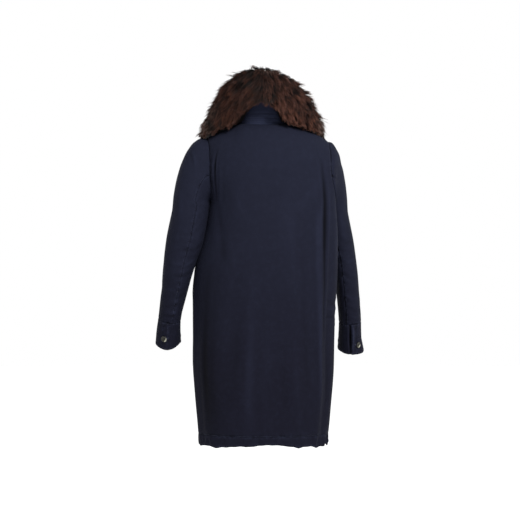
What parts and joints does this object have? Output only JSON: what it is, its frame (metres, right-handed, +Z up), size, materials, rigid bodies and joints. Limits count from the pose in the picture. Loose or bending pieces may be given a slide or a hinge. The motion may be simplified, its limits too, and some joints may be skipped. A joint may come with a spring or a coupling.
{
  "type": "parka",
  "caption": "Knee-length hollow parka in its worn shape, with a fur collar over a stitched stand, a corded hem channel and buttoned cuffs.",
  "frame": {"origin": "centre of the neck seam, where the wearer's neck and shoulders hold the coat up", "axes": "+Z up; the back of the coat faces -Y and its front faces +Y; +X is the wearer's right"},
  "size_m": [0.6282, 0.3286, 1.1364],
  "materials": {
    "navy_cloth": "matt cotton",
    "brown_fur": "long soft fur",
    "dark_button": "polished"
  },
  "bodies": {
    "root": {"back": "navy_cloth", "front_right": "navy_cloth", "front_left": "navy_cloth", "hem_back": "navy_cloth", "hem_front_right": "navy_cloth", "hem_front_left": "navy_cloth", "collar_stand": "navy_cloth", "sleeve_left_upper": "navy_cloth", "sleeve_left_under": "navy_cloth", "sleeve_right_upper": "navy_cloth", "sleeve_right_under": "navy_cloth", "cuff_left": "navy_cloth", "cuff_right": "navy_cloth", "fur_left": "brown_fur", "fur_right": "brown_fur", "cuff_button_left": "dark_button", "cuff_button_right": "dark_button", "front_button_1": "dark_button", "front_button_2": "dark_button", "front_button_3": "dark_button", "front_button_4": "dark_button", "front_button_5": "dark_button"}
  },
  "joints": []
}
